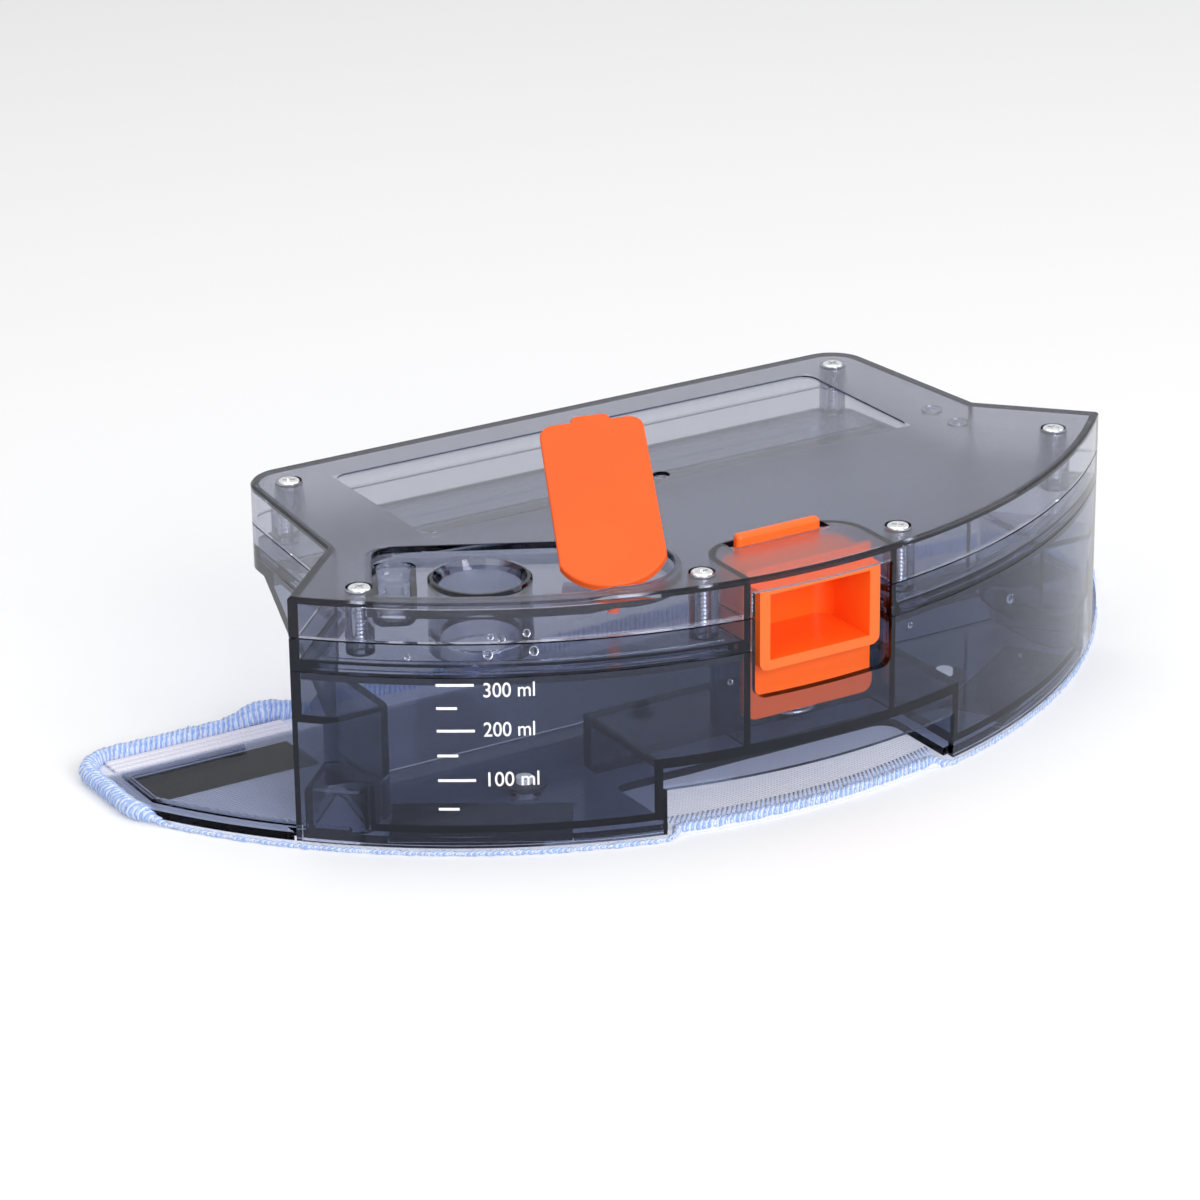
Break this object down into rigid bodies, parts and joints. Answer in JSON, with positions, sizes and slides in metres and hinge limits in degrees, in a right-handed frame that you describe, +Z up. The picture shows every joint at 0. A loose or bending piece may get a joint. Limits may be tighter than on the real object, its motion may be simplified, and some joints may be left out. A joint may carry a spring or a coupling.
{
  "type": "robot vacuum water tank",
  "caption": "Clear smoky water tank with a round front wall, snap latch, open silicone filler flap, and a mop plate carrying a woven cloth.",
  "frame": {"origin": "centre of the object's footprint, on the surface the mop cloth lies on", "axes": "+X along the rear edge to the right, -Y out of the round front wall, +Z up"},
  "size_m": [0.303, 0.135, 0.0902],
  "materials": {
    "tank_plastic": "clear smoky grey moulding with a polished face",
    "seal_rubber": "dark satin rubber",
    "screw_steel": "bright zinc plate",
    "orange_plastic": "satin moulded",
    "orange_silicone": "matt silicone",
    "cloth_weave": "white microfibre with a slanting weave",
    "edging_thread": "light blue overlock thread",
    "elastic_webbing": "pale ribbed elastic",
    "hook_tape": "black hook tape",
    "wick_felt": "white felt"
  },
  "bodies": {
    "tank": {"lower_tub": "tank_plastic", "middle_frame": "tank_plastic", "top_cover": "tank_plastic", "mop_plate": "tank_plastic", "tank_gasket": "seal_rubber", "cover_screws": "screw_steel", "latch_spring": "screw_steel", "mop_cloth": "cloth_weave", "cloth_edging": "edging_thread", "elastic_band_right": "elastic_webbing", "elastic_band_left": "elastic_webbing", "air_vent_valve": "seal_rubber", "hook_strip_right": "hook_tape", "hook_strip_left": "hook_tape", "hook_strip_front_right": "hook_tape", "hook_strip_front_left": "hook_tape", "outlet_seal_right": "seal_rubber", "outlet_seal_left": "seal_rubber", "outlet_wick_right": "wick_felt", "outlet_wick_left": "wick_felt"},
    "latch": {"latch_button": "orange_plastic"},
    "stem": {"flap_stem": "orange_silicone"},
    "flap": {"filler_flap": "orange_silicone"}
  },
  "joints": [
    {"name": "latch_press", "type": "slide", "parent": "tank", "child": "latch", "axis": [0, 0, -1], "range_m": [0, 0.0036], "stiffness_N_per_m": 800, "springref_m": -0.004, "deforming": ["latch_spring"]},
    {"name": "flap_swivel", "type": "hinge", "parent": "tank", "child": "stem", "pos_m": [-0.04446, -0.03748, 0.0685], "axis": [0, 0, 1], "range_deg": [-25, 86.7]},
    {"name": "flap_bend", "type": "hinge", "parent": "stem", "child": "flap", "pos_m": [-0.04446, -0.03748, 0.0685], "axis": [0.8899, -0.4466, 0.0927], "range_deg": [-18, 4]}
  ]
}
